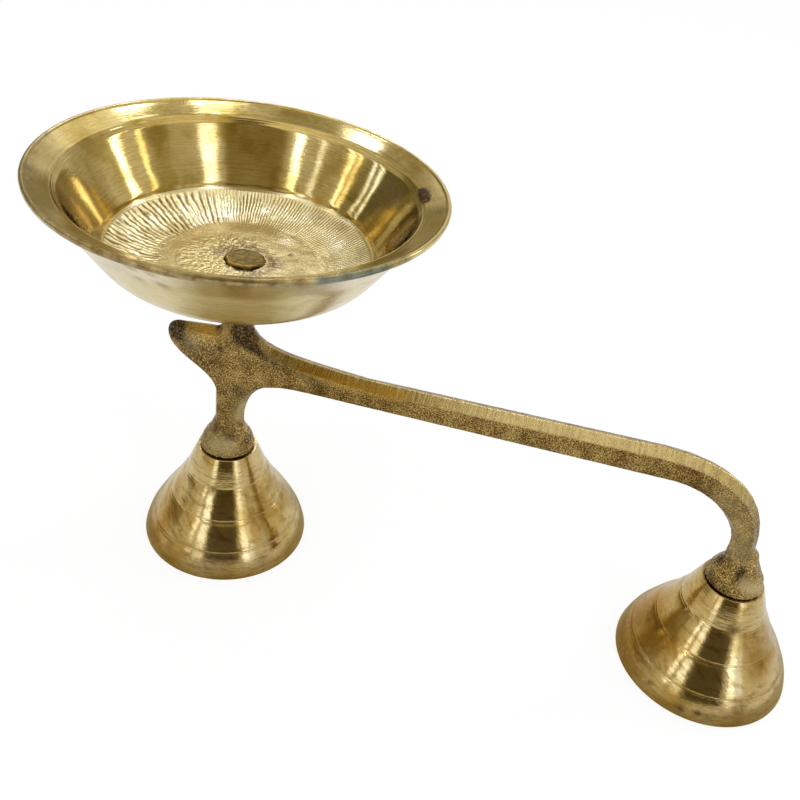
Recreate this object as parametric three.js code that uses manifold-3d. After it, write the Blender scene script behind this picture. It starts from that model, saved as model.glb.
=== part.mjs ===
// Handled incense burner in brass. A turned bowl sits on the neck of a one-piece cast handle,
// and the handle stands on two turned, hollow bell feet. A brass stud peened over at its end
// holds the bowl and each foot to the casting. Millimetres, +Z up, +X from the bowl along the
// handle, with the origin on the table under the middle of the whole burner.
import * as THREE from 'three';
import { mergeVertices } from 'three/addons/utils/BufferGeometryUtils.js';
import Module from 'manifold-3d';

const wasm = await Module();
wasm.setup();

// Whole burner
const FOOT_SPACING = 126.7; // between the axes of the feet
const BOWL_OFFSET = 1.9; // bowl axis, from the front foot's axis towards the handle
const SEAT_GAP = 0.3; // between a piece and the one that it bears on
const CUT_PAST = 1; // how far a cutting tool runs past the face that it cuts
const BOWL_STEPS = 64;
const ROUND_STEPS = 40;
const PIN_STEPS = 20;
const CURVE_STEPS = 9; // straight steps in each bend of the casting's outline

// Bell foot
const FOOT_HEIGHT = 28.1;
const FOOT_BASE_R = 21.0;
const FOOT_SKIRT_R = 18.6; // at the lowest of the three turned lines
const FOOT_WAIST_R = 14.2; // at the middle line
const FOOT_SHOULDER_R = 10.15; // at the top line
const FOOT_TOP_R = 7.3;
const FOOT_BANDS = 4;
const SKIRT_BELLY = 0.6; // how far the lowest band swells, where the upper three are straight
const FOOT_EDGE = 1.1; // rounding of the bottom edge
const FOOT_WALL = 2.0;
const FOOT_CROWN = 2.6; // thickness of the top
const LINE_DEPTH = 0.25; // turned lines on the feet and in the bowl
const LINE_WIDTH = 0.5;

// Handle casting
const CAST_THICK = 5.8; // across its flat faces
const DRAFT = 1.4; // how far the parting ridge stands out past the faces' outline
const PARTING_WIDTH = 0.4; // flat left along the ridge where the mould halves met
const LEG_OFFSET = 0.4; // front leg's centre line, from the front foot's axis
const LEG_FACE = 4.6; // width of the front leg's flat face
const REAR_LEG_OFFSET = 1.3; // rear leg's centre line, short of the rear foot's axis
const REAR_LEG_FACE = 3.0;
const REAR_LEG_LEAN = 1.2; // how far the outside of the turn leans in above the rear leg
const LEG_RISE = 23.4; // from the feet up to the bar's face at its front end
const BAR_RISE = 2.0; // how much higher the bar's rear end lies
const BAR_FACE_FRONT = 4.2;
const BAR_FACE_REAR = 4.9;
const WEB_REACH = 18.9; // from the front leg to where the web under the bar runs out
const WEB_DROP = 12.3; // from the bar down to where that web leaves the leg
const WEB_LEAN = 2.1; // how far the web leans away from the leg on its way up
const TAPER_REACH = 33; // from the front leg to where the bar has its least height
const CROOK_RISE = 1.2; // of the bar's top line between there and the neck
const TURN_REACH = 18.2; // from the rear leg to where the bar's underside starts to turn down
const TURN_DROP = 14.8; // from the bar's underside down to where the turn ends
const SPUR_REACH = 14.5; // from the front leg to the tip of the spur
const SPUR_RISE = 8.6; // from the bar's underside up to the spur's top
const SPUR_SAG = 0.8; // how much lower its top lies at the tip
const SPUR_TIP_DROP = 1.6; // from there to its foremost point
const SPUR_ROOT_IN = 5.3; // from the tip to the middle of its under edge, inwards
const SPUR_ROOT_DROP = 8.1; // and downwards from the top
const SPUR_HEEL_DROP = 11.9; // from the top to where the under edge would reach the leg
const SPUR_LEG_DROP = 15.6; // from the top to where the leg's own side begins
const SPUR_TIP_THICK = 2.2; // the spur thins to this at its tip
const NECK_R = 3.7;
const NECK_LENGTH = 18.3; // from the spur's top to the seat under the bowl
const NECK_ROOT_DROP = 2.6; // from the spur's top to where the round neck leaves the faces
const NECK_CLEAR = 3.6; // from the spur's top to where the neck stands clear of the outline

// Bell-shaped ends of the casting, one on each foot and one under the bowl
const COLLAR_R = 6.8;
const COLLAR_SHOULDER_R = 6.1;
const COLLAR_SHOULDER_H = 2.6;
const COLLAR_NECK_R = 3.0;
const COLLAR_H = 9.0;

// Bowl
const BOWL_HEIGHT = 22.8;
const RIM_R = 44.5;
const LIP = 0.9; // thickness at the lip
const BOWL_FLAT_R = 19.0; // flat of the underside, and the smooth disc above it
const HEEL_R = 26.5; // outside, where the underside turns up into the wall
const HEEL_H = 1.7;
const WALL_R = 31.4; // outside, at the foot of the straight wall
const WALL_H = 6.0;
const FLARE_R = 37.0; // outside, where the wall starts to flare
const FLARE_H = 14.0;
const FLOOR_THICK = 1.5;
const FLOOR_EDGE_R = 28.8; // inside, where the dished floor meets the wall
const FLOOR_RISE = 3.4; // of that edge above the middle of the floor
const INNER_LINE_R = 38.4; // turned line between the inner wall and the flared rim
const INNER_LINE_DROP = 3.5; // of that line below the rim

// Studs
const STUD_R = 2.0;
const STUD_DEPTH = 6.5; // in the casting
const STUD_HEAD_R = 4.2;
const STUD_HEAD_H = 1.4;
const RIVET_HEAD_R = 4.6;
const RIVET_HEAD_H = 1.1;

const BRASS_TURNED = { color: 0xc8ab62, roughness: 0.28, metalness: 1.0 };
const BRASS_CAST = { color: 0xa58a45, roughness: 0.55, metalness: 1.0 };
const BRASS_PEENED = { color: 0x9b8048, roughness: 0.5, metalness: 1.0 };

// Heights and places that follow from the sizes above
const collarZ = FOOT_HEIGHT + SEAT_GAP;
const barLowZ = collarZ + LEG_RISE;
const spurTopZ = barLowZ + SPUR_RISE;
const neckTopZ = spurTopZ + NECK_LENGTH;
const bowlSeatZ = neckTopZ + SEAT_GAP;
const rimZ = bowlSeatZ + BOWL_HEIGHT;
const rearLegX = FOOT_SPACING - REAR_LEG_OFFSET;
const boreR = STUD_R + SEAT_GAP;
const coreR = CAST_THICK / 2 - SEAT_GAP; // what a round end buries inside the flat body

// The point at the given shares of the way from a to b, across and up.
function between(a, b, across, up) {
  return [a[0] + across * (b[0] - a[0]), a[1] + up * (b[1] - a[1])];
}

// Points of a quadratic bend from a to b, drawn towards the control point, without a itself.
function bend(a, control, b, steps) {
  const curve = new THREE.QuadraticBezierCurve(
    new THREE.Vector2(...a), new THREE.Vector2(...control), new THREE.Vector2(...b));
  return curve.getPoints(steps).slice(1).map((p) => [p.x, p.y]);
}

// Solid of revolution about +Z from [radius, height] points that run anticlockwise.
function revolve(profile, steps, x) {
  const points = profile.map(([r, z]) => new THREE.Vector2(r, z));
  const geometry = new THREE.LatheGeometry(points, steps);
  geometry.rotateX(Math.PI / 2);
  geometry.translate(x, 0, 0);
  return geometry;
}

// A ring-shaped profile ends where it starts.
function closed(profile) {
  return [...profile, profile[0]];
}

function toSolid(geometry) {
  const bare = geometry.clone();
  bare.deleteAttribute('normal');
  bare.deleteAttribute('uv');
  const merged = mergeVertices(bare, 1e-4);
  return new wasm.Manifold(new wasm.Mesh({
    numProp: 3,
    vertProperties: merged.attributes.position.array,
    triVerts: Uint32Array.from(merged.index.array),
  }));
}

function toGeometry(solid) {
  const mesh = solid.getMesh();
  const geometry = new THREE.BufferGeometry();
  geometry.setAttribute('position', new THREE.BufferAttribute(mesh.vertProperties, 3));
  geometry.setIndex(new THREE.BufferAttribute(mesh.triVerts, 1));
  geometry.computeVertexNormals();
  return geometry;
}

// A turned line round a foot: a small V in the profile at radius r and height z.
function turnedLine(r, z) {
  return [
    [r + LINE_DEPTH / 2, z - LINE_WIDTH / 2],
    [r - LINE_DEPTH, z],
    [r - LINE_DEPTH / 2, z + LINE_WIDTH / 2],
  ];
}

// One bell foot: four bands with a turned line between each two, open below.
function bellFoot(x) {
  const pitch = FOOT_HEIGHT / FOOT_BANDS;
  const edge = [FOOT_BASE_R - FOOT_EDGE, 0];
  const skirtFoot = [FOOT_BASE_R, FOOT_EDGE];
  const skirtTop = [FOOT_SKIRT_R, pitch];
  const skirtMiddle = between(skirtFoot, skirtTop, 0.5, 0.5);
  const outside = [
    ...bend(edge, [FOOT_BASE_R, 0], skirtFoot, 3),
    ...bend(skirtFoot, [skirtMiddle[0] + SKIRT_BELLY, skirtMiddle[1]], skirtTop, 4).slice(0, -1),
    ...turnedLine(FOOT_SKIRT_R, pitch),
    ...turnedLine(FOOT_WAIST_R, 2 * pitch),
    ...turnedLine(FOOT_SHOULDER_R, 3 * pitch),
    [FOOT_TOP_R, FOOT_HEIGHT],
  ];
  const crownZ = FOOT_HEIGHT - FOOT_CROWN;
  const inside = [
    [boreR, FOOT_HEIGHT],
    [boreR, crownZ],
    [FOOT_TOP_R - FOOT_WALL, crownZ],
    [FOOT_SHOULDER_R - FOOT_WALL, 3 * pitch - FOOT_WALL / 2],
    [FOOT_WAIST_R - FOOT_WALL, 2 * pitch - FOOT_WALL / 2],
    [FOOT_SKIRT_R - FOOT_WALL, pitch - FOOT_WALL / 2],
    [FOOT_BASE_R - FOOT_WALL - FOOT_EDGE / 2, 0],
  ];
  return revolve(closed([edge, ...outside, ...inside]), ROUND_STEPS, x);
}

// Profile of a bell-shaped end, from its seat to the round neck or leg that it grows out of:
// a straight skirt, then one hollow bend.
function collarProfile(neckR) {
  const shoulder = [COLLAR_SHOULDER_R, COLLAR_SHOULDER_H];
  const end = [neckR, COLLAR_H];
  return [[COLLAR_R, 0], shoulder, ...bend(shoulder, between(shoulder, end, 0.8, 0.6), end, 5)];
}

function collar(x) {
  const side = collarProfile(COLLAR_NECK_R).map(([r, h]) => [r, collarZ + h]);
  const top = collarZ + COLLAR_H + DRAFT;
  return revolve([[0, collarZ], ...side, [coreR / 2, top], [0, top]], ROUND_STEPS, x);
}

// The round neck grows out of the casting's flat faces and ends in the bowl's seat.
function neck() {
  const seat = collarProfile(NECK_R).map(([r, h]) => [r, neckTopZ - h]).reverse();
  const rootZ = spurTopZ - NECK_ROOT_DROP;
  const root = bend([coreR, rootZ], [NECK_R, rootZ + DRAFT], [NECK_R, spurTopZ], 4);
  return revolve([[0, rootZ], [coreR, rootZ], ...root, ...seat, [0, neckTopZ]],
    ROUND_STEPS, BOWL_OFFSET);
}

// Adds a bend to the outline. It leaves its start towards the corner and comes into its end
// from the corner, and the two shares say how far it follows each of those lines.
function turnTo(shape, corner, end, startShare, endShare) {
  const start = shape.currentPoint;
  const a = start.clone().lerp(new THREE.Vector2(...corner), startShare);
  const b = new THREE.Vector2(...end).lerp(new THREE.Vector2(...corner), endShare);
  shape.bezierCurveTo(a.x, a.y, b.x, b.y, ...end);
}

// Outline of the casting's flat faces in one sweep: front leg, web, bar, turn and rear leg,
// then back over the top to the neck and the spur.
function faceOutline() {
  const buried = collarZ + COLLAR_SHOULDER_H / 2; // the legs' ends are inside the collars
  const left = LEG_OFFSET - LEG_FACE / 2;
  const right = LEG_OFFSET + LEG_FACE / 2;
  const webEnd = [right + WEB_REACH, barLowZ];
  const rearLeft = rearLegX - REAR_LEG_FACE / 2;
  const rearRight = rearLegX + REAR_LEG_FACE / 2;
  const lowEnd = [rearLeft - TURN_REACH, barLowZ + BAR_RISE];
  const topEnd = [lowEnd[0] - TURN_REACH / 6, lowEnd[1] + BAR_FACE_REAR];
  const turnEndZ = lowEnd[1] - TURN_DROP;
  const taperX = LEG_OFFSET + TAPER_REACH;
  const rise = BAR_RISE * (taperX - webEnd[0]) / (lowEnd[0] - webEnd[0]);
  const taper = [taperX, barLowZ + rise + BAR_FACE_FRONT];
  const neckRight = BOWL_OFFSET + NECK_R - DRAFT;
  const neckLeft = BOWL_OFFSET - NECK_R + DRAFT;
  const neckZ = spurTopZ + NECK_CLEAR;
  const tipX = LEG_OFFSET - SPUR_REACH;
  const tipZ = spurTopZ - SPUR_SAG;

  const s = new THREE.Shape();
  s.moveTo(left, buried);
  s.lineTo(right, buried);
  s.lineTo(right, barLowZ - WEB_DROP);
  turnTo(s, [right + WEB_LEAN, barLowZ], webEnd, 0.6, 0.9);
  s.lineTo(...lowEnd);
  turnTo(s, [rearLeft, lowEnd[1]], [rearLeft, turnEndZ], 0.55, 0.42);
  s.lineTo(rearLeft, buried);
  s.lineTo(rearRight, buried);
  s.lineTo(rearRight, turnEndZ);
  turnTo(s, [rearRight - REAR_LEG_LEAN, topEnd[1]], topEnd, 0.58, 0.74);
  s.lineTo(...taper);
  turnTo(s, [neckRight + WEB_LEAN, taper[1] + CROOK_RISE], [neckRight, neckZ], 0.75, 0.95);
  s.lineTo(neckRight, neckZ + NECK_CLEAR);
  s.lineTo(neckLeft, neckZ + NECK_CLEAR);
  s.lineTo(neckLeft, neckZ);
  turnTo(s, [left + DRAFT, spurTopZ], [left - SPUR_REACH / 4, spurTopZ], 0.6, 0.6);
  s.lineTo(tipX + SPUR_TIP_DROP, tipZ);
  turnTo(s, [tipX, tipZ], [tipX, tipZ - SPUR_TIP_DROP], 0.6, 0.6);
  const root = [tipX + SPUR_ROOT_IN, spurTopZ - SPUR_ROOT_DROP];
  const heel = [left, spurTopZ - SPUR_HEEL_DROP];
  const slope = (root[1] - heel[1]) / (heel[0] - root[0]);
  turnTo(s, [tipX, root[1] + slope * SPUR_ROOT_IN], root, 0.7, 0.7);
  turnTo(s, heel, [left, spurTopZ - SPUR_LEG_DROP], 0.55, 0.95);
  s.closePath();
  return s;
}

// The wedge that is taken off one face of the spur, so that it thins towards its tip.
function spurWedge(side) {
  const left = LEG_OFFSET - LEG_FACE / 2;
  const tipX = LEG_OFFSET - SPUR_REACH - DRAFT;
  const clear = side * CAST_THICK;
  const s = new THREE.Shape();
  s.moveTo(left, side * CAST_THICK / 2);
  s.lineTo(left, clear);
  s.lineTo(tipX - CUT_PAST, clear);
  s.lineTo(tipX, side * SPUR_TIP_THICK / 2);
  s.closePath();
  const depth = SPUR_LEG_DROP + NECK_CLEAR;
  const geometry = new THREE.ExtrudeGeometry(s, { depth, bevelEnabled: false });
  geometry.translate(0, 0, spurTopZ - SPUR_LEG_DROP);
  return geometry;
}

// The flat body of the casting as the two-part mould leaves it, with draft up to the ridge.
function castPlate() {
  const geometry = new THREE.ExtrudeGeometry(faceOutline(), {
    depth: PARTING_WIDTH,
    curveSegments: CURVE_STEPS,
    bevelEnabled: true,
    bevelThickness: (CAST_THICK - PARTING_WIDTH) / 2,
    bevelSize: DRAFT,
    bevelSegments: 1,
  });
  geometry.translate(0, 0, -PARTING_WIDTH / 2);
  geometry.rotateX(Math.PI / 2);
  return geometry;
}

// A blind hole for a stud, from its mouth at z upwards, or downwards for a direction of -1.
function studHole(x, z, direction) {
  const mouth = z - direction * CUT_PAST;
  const end = z + direction * (STUD_DEPTH + SEAT_GAP);
  const low = Math.min(mouth, end);
  const high = Math.max(mouth, end);
  return toSolid(revolve([[0, low], [boreR, low], [boreR, high], [0, high]], PIN_STEPS, x));
}

function handleCasting() {
  return toGeometry(toSolid(castPlate())
    .subtract(toSolid(spurWedge(1)))
    .subtract(toSolid(spurWedge(-1)))
    .add(toSolid(collar(0)))
    .add(toSolid(collar(FOOT_SPACING)))
    .add(toSolid(neck()))
    .subtract(studHole(0, collarZ, 1))
    .subtract(studHole(FOOT_SPACING, collarZ, 1))
    .subtract(studHole(BOWL_OFFSET, neckTopZ, -1)));
}

// The bowl: a flat underside, a rounded heel, a straight wall and a flared rim, and inside it
// a dished floor, a conical wall, a turned line and the wide band of the rim.
function bowl() {
  const at = (r, h) => [r, bowlSeatZ + h];
  const floorZ = bowlSeatZ + FLOOR_THICK;
  const lineZ = rimZ - INNER_LINE_DROP;
  const flat = at(BOWL_FLAT_R, 0);
  const heel = at(HEEL_R, HEEL_H);
  const wall = at(WALL_R, WALL_H);
  const flare = at(FLARE_R, FLARE_H);
  const lip = [RIM_R, rimZ - LIP / 2];
  const floorEdge = [FLOOR_EDGE_R, floorZ + FLOOR_RISE];
  const disc = [BOWL_FLAT_R, floorZ];
  const profile = [
    at(boreR, 0),
    flat,
    ...bend(flat, between(flat, heel, 0.6, 0), heel, 4),
    ...bend(heel, between(heel, wall, 0.6, 0.4), wall, 3),
    flare,
    ...bend(flare, between(flare, lip, 0.25, 0.35), lip, 5),
    ...bend(lip, [RIM_R, rimZ], [RIM_R - LIP / 2, rimZ], 2),
    [RIM_R - LIP, rimZ - LIP / 6],
    [INNER_LINE_R + LINE_WIDTH / 2, lineZ + LINE_DEPTH / 2],
    [INNER_LINE_R, lineZ - LINE_DEPTH],
    [INNER_LINE_R - LINE_WIDTH / 2, lineZ - LINE_DEPTH / 2],
    floorEdge,
    ...bend(floorEdge, between(floorEdge, disc, 0.5, 0.7), disc, 4),
    [boreR, floorZ],
  ];
  return revolve(closed(profile), BOWL_STEPS, BOWL_OFFSET);
}

// The rivet through the bowl's floor: a shank in the neck and a head hammered out over it.
function bowlRivet() {
  const underHead = bowlSeatZ + FLOOR_THICK + SEAT_GAP;
  const edge = [RIVET_HEAD_R, underHead + RIVET_HEAD_H / 3];
  const crown = [RIVET_HEAD_R / 2, underHead + RIVET_HEAD_H];
  return revolve([
    [0, neckTopZ - STUD_DEPTH],
    [STUD_R, neckTopZ - STUD_DEPTH],
    [STUD_R, underHead],
    [RIVET_HEAD_R, underHead],
    edge,
    ...bend(edge, between(edge, crown, 0, 1), crown, 4),
    [0, crown[1]],
  ], PIN_STEPS, BOWL_OFFSET);
}

// The stud that holds a foot: a shank in the collar and a peened head inside the bell.
function footStud(x) {
  const head = FOOT_HEIGHT - FOOT_CROWN - SEAT_GAP;
  return revolve([
    [0, head - STUD_HEAD_H],
    [STUD_HEAD_R / 2, head - STUD_HEAD_H],
    [STUD_HEAD_R, head - STUD_HEAD_H / 3],
    [STUD_HEAD_R, head],
    [STUD_R, head],
    [STUD_R, collarZ + STUD_DEPTH],
    [0, collarZ + STUD_DEPTH],
  ], PIN_STEPS, x);
}

const burner = new THREE.Group();

function addPiece(name, geometry, finish) {
  const mesh = new THREE.Mesh(geometry, new THREE.MeshStandardMaterial(finish));
  mesh.name = name;
  burner.add(mesh);
}

addPiece('front_foot', bellFoot(0), BRASS_TURNED);
addPiece('rear_foot', bellFoot(FOOT_SPACING), BRASS_TURNED);
addPiece('handle_casting', handleCasting(), BRASS_CAST);
addPiece('front_foot_stud', footStud(0), BRASS_PEENED);
addPiece('rear_foot_stud', footStud(FOOT_SPACING), BRASS_PEENED);
addPiece('bowl', bowl(), BRASS_TURNED);
addPiece('bowl_rivet', bowlRivet(), BRASS_PEENED);

// The middle of the whole length stands over the origin.
const frontEnd = Math.min(BOWL_OFFSET - RIM_R, -FOOT_BASE_R);
const rearEnd = Math.max(BOWL_OFFSET + RIM_R, FOOT_SPACING + FOOT_BASE_R);
burner.position.x = -(frontEnd + rearEnd) / 2;

export default burner;
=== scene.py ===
import math

import bpy
import numpy as np
from mathutils import Euler, Matrix, Vector, noise


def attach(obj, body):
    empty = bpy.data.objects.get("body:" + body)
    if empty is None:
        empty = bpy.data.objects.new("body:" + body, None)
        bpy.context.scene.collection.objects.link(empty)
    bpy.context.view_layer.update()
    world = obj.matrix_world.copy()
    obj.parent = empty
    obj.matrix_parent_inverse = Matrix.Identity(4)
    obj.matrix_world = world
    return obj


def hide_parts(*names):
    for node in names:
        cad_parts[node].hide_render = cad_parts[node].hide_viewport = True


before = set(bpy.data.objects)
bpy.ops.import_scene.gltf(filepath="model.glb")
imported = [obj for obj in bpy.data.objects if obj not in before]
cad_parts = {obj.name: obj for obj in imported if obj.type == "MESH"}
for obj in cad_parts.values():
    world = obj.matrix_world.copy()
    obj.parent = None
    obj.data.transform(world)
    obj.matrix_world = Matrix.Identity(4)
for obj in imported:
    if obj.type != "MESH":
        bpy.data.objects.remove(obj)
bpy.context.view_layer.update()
MM = 0.001

# The view is the photograph's: from above the front left, a little turned, with a
# short lens close to the burner.
EYE = Vector((21.26, -180.05, 187.64)) * MM
TURN = math.radians(10.011)
LOOK_DOWN = math.radians(36.0615)
TILT = math.radians(8.496)
FILM_WIDE = 36
FOCAL = 44.147

lens = bpy.data.cameras.new("view")
lens.sensor_width = FILM_WIDE
lens.lens = FOCAL
lens.clip_start = 0.01
camera = bpy.data.objects.new("view", lens)
bpy.context.collection.objects.link(camera)
camera.matrix_world = (
    Matrix.Translation(EYE)
    @ Matrix.Rotation(TURN, 4, "Z")
    @ Matrix.Rotation(math.radians(90) - LOOK_DOWN, 4, "X")
    @ Matrix.Rotation(TILT, 4, "Z")
)
bpy.context.scene.camera = camera
bpy.context.scene.view_settings.view_transform = "Standard"


def linear(code, alpha=1.0):
    """Turn an sRGB hex colour into Blender's linear red, green, blue and alpha."""
    parts = [int(code[i:i + 2], 16) / 255 for i in (0, 2, 4)]
    return [c / 12.92 if c <= 0.04045 else ((c + 0.055) / 1.055) ** 2.4 for c in parts] + [alpha]


def add(tree, kind, settings=None, feeds=None):
    """Add one node, set its options, and set or link its sockets."""
    made = tree.nodes.new("ShaderNode" + kind)
    for key, value in (settings or {}).items():
        setattr(made, key, value)
    for key, value in (feeds or {}).items():
        if isinstance(value, bpy.types.NodeSocket):
            tree.links.new(value, made.inputs[key])
        else:
            made.inputs[key].default_value = value
    return made


# The studio is a white sheet that the burner stands on, with the room all white round it.
# The sheet is a soft paper that keeps a faint shadow under the feet.
ROOM_LIGHT = 0.55
SHEET_REACH = 3.0
SHEET_GLOW = 0.87
SHEET_WHITE = "D8D8D8"

room = bpy.data.worlds.new("white room")
bpy.context.scene.world = room
room.use_nodes = True
tree = room.node_tree
tree.nodes.clear()
rays = add(tree, "LightPath")
seen = add(tree, "Math", {"operation": "MAXIMUM"},
           {0: rays.outputs["Is Camera Ray"], 1: rays.outputs["Is Glossy Ray"]})
seen = add(tree, "Math", {"operation": "MAXIMUM"},
           {0: seen.outputs[0], 1: rays.outputs["Is Transmission Ray"]})
level = add(tree, "MapRange", None, {"Value": seen.outputs[0], "To Min": ROOM_LIGHT, "To Max": 1.0})
sky = add(tree, "Background", None, {"Color": linear("FFFFFF"), "Strength": level.outputs[0]})
add(tree, "OutputWorld", None, {"Surface": sky.outputs[0]})


def surface(name):
    """Start a material with a principled shader on its output."""
    made = bpy.data.materials.new(name)
    made.use_nodes = True
    made.node_tree.nodes.clear()
    shader = add(made.node_tree, "BsdfPrincipled")
    add(made.node_tree, "OutputMaterial", None, {"Surface": shader.outputs[0]})
    return made, made.node_tree, shader


def solid(name, points, faces):
    """Make a smooth object from points in metres and faces."""
    mesh = bpy.data.meshes.new(name)
    mesh.from_pydata([tuple(p) for p in points], [], [tuple(f) for f in faces])
    mesh.validate()
    mesh.update()
    mesh.shade_smooth()
    piece = bpy.data.objects.new(name, mesh)
    bpy.context.collection.objects.link(piece)
    return piece


corners = [(x * SHEET_REACH, y * SHEET_REACH, 0) for x, y in ((-1, -1), (1, -1), (1, 1), (-1, 1))]
sheet = solid("white_sheet", corners, [(0, 1, 2, 3)])
paper, tree, shader = surface("white paper sheet")
shader.inputs["Base Color"].default_value = linear(SHEET_WHITE)
shader.inputs["Roughness"].default_value = 0.9
shader.inputs["Specular IOR Level"].default_value = 0.0
rays = add(tree, "LightPath")
seen = add(tree, "Math", {"operation": "MAXIMUM"},
           {0: rays.outputs["Is Camera Ray"], 1: rays.outputs["Is Glossy Ray"]})
glow = add(tree, "Emission", None, {"Color": linear("FFFFFF"), "Strength": SHEET_GLOW})
dim = add(tree, "BsdfDiffuse", None, {"Color": linear("808080")})
white = add(tree, "AddShader", None, {0: glow.outputs[0], 1: dim.outputs[0]})
both = add(tree, "MixShader", None, {0: seen.outputs[0], 1: shader.outputs[0], 2: white.outputs[0]})
tree.links.new(both.outputs[0], tree.nodes["Material Output"].inputs["Surface"])
sheet.data.materials.append(paper)

# Tall soft lamps stand round the burner. Each shows in the turned brass as one bright
# streak, so each stands where its streak in the bowl calls for it.
LAMP_WAY = 0.6
LAMP_AIM = Vector((-0.03, 0, 0.08))
LAMP_POWER = 4
# Each lamp: degrees round from +Y, degrees up, width and height in metres, level and tint.
LAMPS = {
    "lamp_left_tall": (56, 28, 0.042, 0.30, 6.0, "F4F4FA"),
    "lamp_front_right": (128, 40, 0.10, 0.20, 2.9, "E6ECFF"),
    "lamp_front_left": (-153.5, 40, 0.028, 0.22, 7.0, "EEF3FF"),
    "lamp_side_warm": (-112.5, 32, 0.020, 0.20, 4.0, "FFF8E8"),
}


def toward(azimuth, height):
    """The direction that lies so many degrees round from +Y towards +X, and so many up."""
    a, e = math.radians(azimuth), math.radians(height)
    return Vector((math.sin(a) * math.cos(e), math.cos(a) * math.cos(e), math.sin(e)))


for name, (azimuth, height, wide, tall, strength, tint) in LAMPS.items():
    way = toward(azimuth, height)
    lamp = bpy.data.lights.new(name, "AREA")
    lamp.shape = "RECTANGLE"
    lamp.size = wide
    lamp.size_y = tall
    lamp.energy = strength * wide * tall * LAMP_POWER
    lamp.color = linear(tint)[:3]
    holder = bpy.data.objects.new(name, lamp)
    bpy.context.collection.objects.link(holder)
    holder.location = LAMP_AIM + way * LAMP_WAY
    holder.rotation_euler = way.to_track_quat("Z", "Y").to_euler()
    holder.visible_camera = False

# A grey-brown curtain hangs round the table, darkest behind the viewer, with pale cloths
# and reflectors on it. Only the brass sees it, and its dark bands are the cloths' folds.
CURTAIN_WAY = 0.68
CURTAIN_LOW = 0.70
CURTAIN_HIGH = 1.30
CURTAIN_UPS = (-6, 85)
CURTAIN_RISE = (38, 68)
CURTAIN_CLOTH = "FFF6DC"
CLOTH_BROWN = "E8D8A4"
CLOTH_DARK = "DCC68C"
CLOTH_DAY = "DCE6FF"
# Each cloth: from and to round, from and to up, soft edge in degrees, level and tint.
CLOTHS = [
    (106, 119, -6, 30, 2.5, 0.92, CURTAIN_CLOTH),
    (96, 106, -6, 30, 2.0, 0.74, CURTAIN_CLOTH),
    (84, 96, -6, 48, 2.5, 0.72, CLOTH_BROWN),
    (72, 84, -6, 20, 2.5, 0.88, CURTAIN_CLOTH),
    (55, 72, -6, 45, 4.0, 0.95, CURTAIN_CLOTH),
    (37, 55, -6, 40, 4.0, 0.85, CURTAIN_CLOTH),
    (15, 37, -6, 35, 4.0, 0.66, CURTAIN_CLOTH),
    (-12, 15, -6, 22, 4.0, 0.80, CURTAIN_CLOTH),
    (-34, -12, -6, 20, 4.0, 0.52, CLOTH_BROWN),
    (-64, -36, -6, 30, 4.0, 0.40, CLOTH_BROWN),
    (-87, -60, 3, 26, 3.0, 0.24, CLOTH_BROWN),
    (-108, -87, -6, 30, 3.0, 0.42, CLOTH_BROWN),
    (-120, -108, -6, 20, 3.0, 0.50, CLOTH_BROWN),
    (-132, -120, -6, 22, 3.0, 0.74, CURTAIN_CLOTH),
    (-143, -132, -6, 34, 2.5, 0.92, CURTAIN_CLOTH),
    (-157, -143, -6, 8, 1.5, 0.90, CURTAIN_CLOTH),
    (-151, -144, 6, 30, 1.0, 3.6, CLOTH_DAY),
    (-171, -151, -6, 25, 1.5, 0.80, CURTAIN_CLOTH),
    (-169, -157, -6, 25, 1.0, 3.0, CLOTH_DAY),
    (118, 126, -6, 24, 1.5, 1.9, CLOTH_DAY),
    (126.5, 136, -6, 24, 1.5, 3.3, CLOTH_DAY),
    (99, 102.5, 6, 30, 0.8, 1.40, CLOTH_DAY),
    (74, 76.4, 24, 48, 0.6, 5.0, "FFF2CC"),
    (-137.5, -135.3, 30, 50, 0.6, 5.0, CLOTH_DAY),
    (-108.0, -106.2, 24, 42, 0.5, 5.0, "FFF2CC"),
    (-95.5, -93.8, 16, 34, 0.5, 4.5, CLOTH_DAY),
    (-89, -87.8, 14, 34, 0.3, 6.0, CLOTH_DAY),
    (142, 188, -6, 30, 3.0, 0.17, CLOTH_DARK),
    (142, 195, 30, 58, 4.0, 0.52, CLOTH_DARK),
    (139, 191, 58, 82, 4.0, 0.36, CLOTH_DARK),
    (-60, -30, 32, 84, 4.0, 0.62, CURTAIN_CLOTH),
    (-30, 10, 22, 34, 4.0, 0.98, "FFFCF0"),
    (-28, 12, 34, 56, 5.0, 1.55, "FFFCF0"),
    (-31, 8, 58, 72, 3.0, 0.80, CURTAIN_CLOTH),
    (-44, -38.5, 49, 56, 1.5, 15.0, CLOTH_DAY),
    (-17, -9.5, 62, 68, 1.5, 18.0, CLOTH_DAY),
    (-7, -0.5, 53, 57.5, 1.5, 18.0, CLOTH_DAY),
    (-22, -16, 33, 38, 1.0, 9.0, CLOTH_DAY),
]


def soften(value, low, high, soft):
    """One between low and high, falling to nothing over the soft edge outside them."""
    return np.clip((value - low) / soft + 0.5, 0, 1) * np.clip((high - value) / soft + 0.5, 0, 1)


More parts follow.
